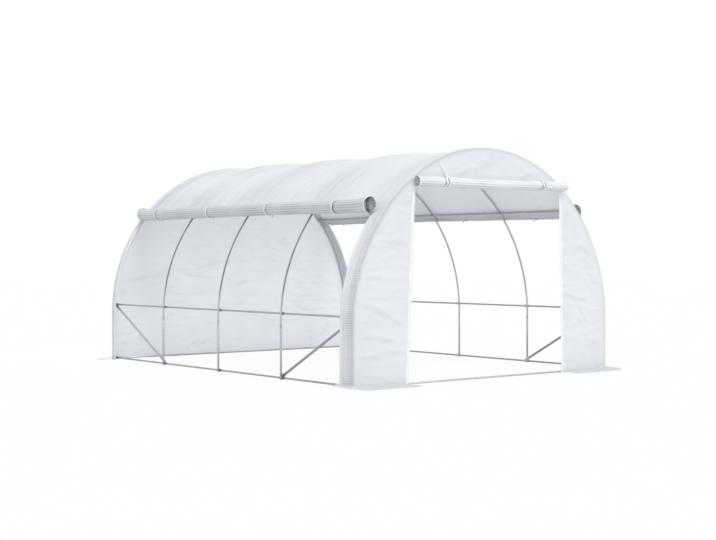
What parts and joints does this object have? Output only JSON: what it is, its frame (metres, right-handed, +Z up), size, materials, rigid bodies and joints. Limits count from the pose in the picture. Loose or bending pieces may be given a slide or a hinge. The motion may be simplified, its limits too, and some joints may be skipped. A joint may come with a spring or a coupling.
{
  "type": "polytunnel greenhouse",
  "caption": "Walk-in polytunnel greenhouse: fabric cover over bolted steel hoops, with rolled-up sides and a rolled-up front door.",
  "frame": {"origin": "on the ground, under the middle of the tunnel", "axes": "+X across the tunnel to the right of someone at the door who looks in, +Y along it from the door to the back wall, +Z up"},
  "size_m": [3.4236, 4.3636, 1.9968],
  "materials": {
    "galvanised_tube": "galvanised, slightly dulled",
    "cover_fabric": "woven coated sheet, matte, lets light through",
    "tie_webbing": "woven webbing"
  },
  "bodies": {
    "root": {"back_hoop_arch": "galvanised_tube", "second_hoop_arch": "galvanised_tube", "middle_hoop_arch": "galvanised_tube", "fourth_hoop_arch": "galvanised_tube", "front_hoop_arch": "galvanised_tube", "left_leg_posts": "galvanised_tube", "left_base_rail": "galvanised_tube", "left_mid_rail": "galvanised_tube", "left_purlin": "galvanised_tube", "left_front_brace": "galvanised_tube", "left_back_brace": "galvanised_tube", "right_leg_posts": "galvanised_tube", "right_base_rail": "galvanised_tube", "right_mid_rail": "galvanised_tube", "right_purlin": "galvanised_tube", "right_front_brace": "galvanised_tube", "right_back_brace": "galvanised_tube", "ridge_rail": "galvanised_tube", "front_sill_tube": "galvanised_tube", "back_sill_tube": "galvanised_tube", "roof_cover": "cover_fabric", "left_front_strip": "cover_fabric", "right_front_strip": "cover_fabric", "left_back_strip": "cover_fabric", "right_back_strip": "cover_fabric", "left_door_panel": "cover_fabric", "right_door_panel": "cover_fabric", "gable_panel": "cover_fabric", "back_panel": "cover_fabric", "left_front_skirt": "cover_fabric", "right_front_skirt": "cover_fabric", "back_skirt": "cover_fabric", "left_side_roll": "cover_fabric", "right_side_roll": "cover_fabric", "door_roll": "cover_fabric", "left_roll_ties": "tie_webbing", "right_roll_ties": "tie_webbing", "door_roll_ties": "tie_webbing"}
  },
  "joints": []
}
